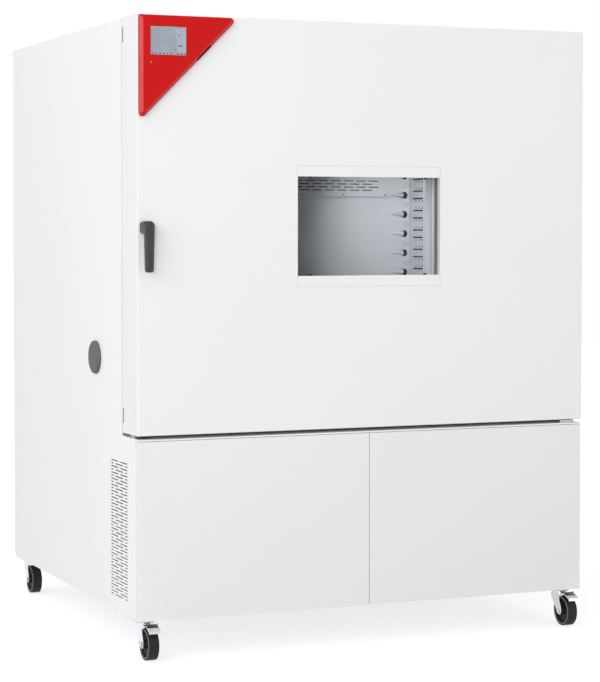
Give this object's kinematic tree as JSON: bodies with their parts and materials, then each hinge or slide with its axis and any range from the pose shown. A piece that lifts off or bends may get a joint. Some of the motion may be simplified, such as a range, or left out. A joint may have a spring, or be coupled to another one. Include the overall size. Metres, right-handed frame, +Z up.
{
  "type": "environmental test chamber",
  "caption": "Wheeled climatic test chamber with an insulated window door, control screen, access port and casters.",
  "frame": {"origin": "on the floor below the middle of the whole object's bounding box", "axes": "+Z up; the door faces -Y; +X is the hinge side, to the viewer's right when facing the door"},
  "size_m": [1.593, 1.509, 2.005],
  "materials": {
    "white_paint": "fine textured powder coat",
    "grey_steel": "satin",
    "zinc": "zinc plated",
    "stainless": "brushed",
    "aluminium": "satin anodised",
    "insulation": "rigid foam",
    "silicone": "soft",
    "dark_rubber": "soft",
    "glass": "clear",
    "red_plastic": "satin moulded",
    "black_plastic": "fine grained",
    "grey_plastic": "fine grained",
    "screen": "touch display",
    "lamp": "translucent",
    "copper_fin": "finned",
    "black_steel": "satin",
    "tyre": "smooth"
  },
  "bodies": {
    "cabinet": {"base_tray": "zinc", "deck_plate": "zinc", "top_rail": "white_paint", "lower_side_left": "white_paint", "lower_side_right": "white_paint", "lower_rear_panel": "white_paint", "front_panel_left": "white_paint", "front_panel_right": "white_paint", "side_panel_left": "white_paint", "side_panel_right": "white_paint", "rear_panel": "white_paint", "top_panel": "white_paint", "front_frame": "stainless", "foam_body": "insulation", "chamber_liner": "stainless", "port_tube": "stainless", "rear_baffle": "stainless", "fan_cover": "stainless", "side_duct_left": "stainless", "side_duct_right": "stainless", "rack_uprights": "stainless", "shelf": "stainless", "fan_motor": "black_steel", "evaporator": "copper_fin", "heater": "stainless", "compressor": "black_steel", "condenser": "copper_fin", "control_cabinet": "grey_steel", "rear_fittings": "black_plastic", "hinge_bracket_top": "zinc", "hinge_bracket_bottom": "zinc", "door_rest": "zinc", "strike_plate": "stainless", "caster_plates": "zinc"},
    "door": {"door_shell": "white_paint", "door_foam": "insulation", "door_liner": "stainless", "door_gasket": "silicone", "window_frame": "white_paint", "window_tunnel": "aluminium", "window_panes": "glass", "control_housing": "red_plastic", "display": "screen", "status_lamp": "lamp", "hinge_bushes": "black_plastic"},
    "handle": {"door_handle": "grey_plastic", "latch_spindle": "zinc"},
    "port_plug": {"port_plug": "grey_plastic"},
    "circulation_fan": {"circulation_fan": "aluminium"},
    "condenser_fan": {"condenser_fan": "black_plastic"},
    "fork_1": {"caster_fork_1": "zinc"},
    "wheel_1": {"caster_wheel_1": "tyre"},
    "fork_2": {"caster_fork_2": "zinc"},
    "wheel_2": {"caster_wheel_2": "tyre"},
    "fork_3": {"caster_fork_3": "zinc"},
    "wheel_3": {"caster_wheel_3": "tyre"},
    "fork_4": {"caster_fork_4": "zinc"},
    "wheel_4": {"caster_wheel_4": "tyre"},
    "pedal_1": {"brake_pedal_1": "zinc"},
    "pedal_2": {"brake_pedal_2": "zinc"}
  },
  "joints": [
    {"name": "door_hinge", "type": "hinge", "parent": "cabinet", "child": "door", "pos_m": [0.765, -0.6655, 1.3535], "axis": [0, 0, 1], "range_deg": [0, 110]},
    {"name": "handle_turn", "type": "hinge", "parent": "door", "child": "handle", "pos_m": [-0.766, -0.7005, 1.348], "axis": [0, -1, 0], "range_deg": [0, 90]},
    {"name": "plug_slide", "type": "slide", "parent": "cabinet", "child": "port_plug", "axis": [-1, 0, 0], "range_m": [0, 0.09]},
    {"name": "fan_spin", "type": "hinge", "parent": "cabinet", "child": "circulation_fan", "pos_m": [0, 0.39, 1.65], "axis": [0, 1, 0], "continuous": true},
    {"name": "condenser_fan_spin", "type": "hinge", "parent": "cabinet", "child": "condenser_fan", "pos_m": [0, 0.62, 0.375], "axis": [0, 1, 0], "continuous": true},
    {"name": "caster_swivel_1", "type": "hinge", "parent": "cabinet", "child": "fork_1", "pos_m": [-0.746, -0.6415, 0.11], "axis": [0, 0, 1], "continuous": true},
    {"name": "caster_roll_1", "type": "hinge", "parent": "fork_1", "child": "wheel_1", "pos_m": [-0.746, -0.6765, 0.05], "axis": [1, 0, 0], "continuous": true},
    {"name": "brake_press_1", "type": "hinge", "parent": "fork_1", "child": "pedal_1", "pos_m": [-0.746, -0.6855, 0.107], "axis": [1, 0, 0], "range_deg": [0, 15]},
    {"name": "caster_swivel_2", "type": "hinge", "parent": "cabinet", "child": "fork_2", "pos_m": [0.746, -0.6415, 0.11], "axis": [0, 0, 1], "continuous": true},
    {"name": "caster_roll_2", "type": "hinge", "parent": "fork_2", "child": "wheel_2", "pos_m": [0.746, -0.6765, 0.05], "axis": [1, 0, 0], "continuous": true},
    {"name": "brake_press_2", "type": "hinge", "parent": "fork_2", "child": "pedal_2", "pos_m": [0.746, -0.6855, 0.107], "axis": [1, 0, 0], "range_deg": [0, 15]},
    {"name": "caster_swivel_3", "type": "hinge", "parent": "cabinet", "child": "fork_3", "pos_m": [-0.746, 0.6655, 0.11], "axis": [0, 0, 1], "continuous": true},
    {"name": "caster_roll_3", "type": "hinge", "parent": "fork_3", "child": "wheel_3", "pos_m": [-0.746, 0.6305, 0.05], "axis": [1, 0, 0], "continuous": true},
    {"name": "caster_swivel_4", "type": "hinge", "parent": "cabinet", "child": "fork_4", "pos_m": [0.746, 0.6655, 0.11], "axis": [0, 0, 1], "continuous": true},
    {"name": "caster_roll_4", "type": "hinge", "parent": "fork_4", "child": "wheel_4", "pos_m": [0.746, 0.6305, 0.05], "axis": [1, 0, 0], "continuous": true}
  ]
}
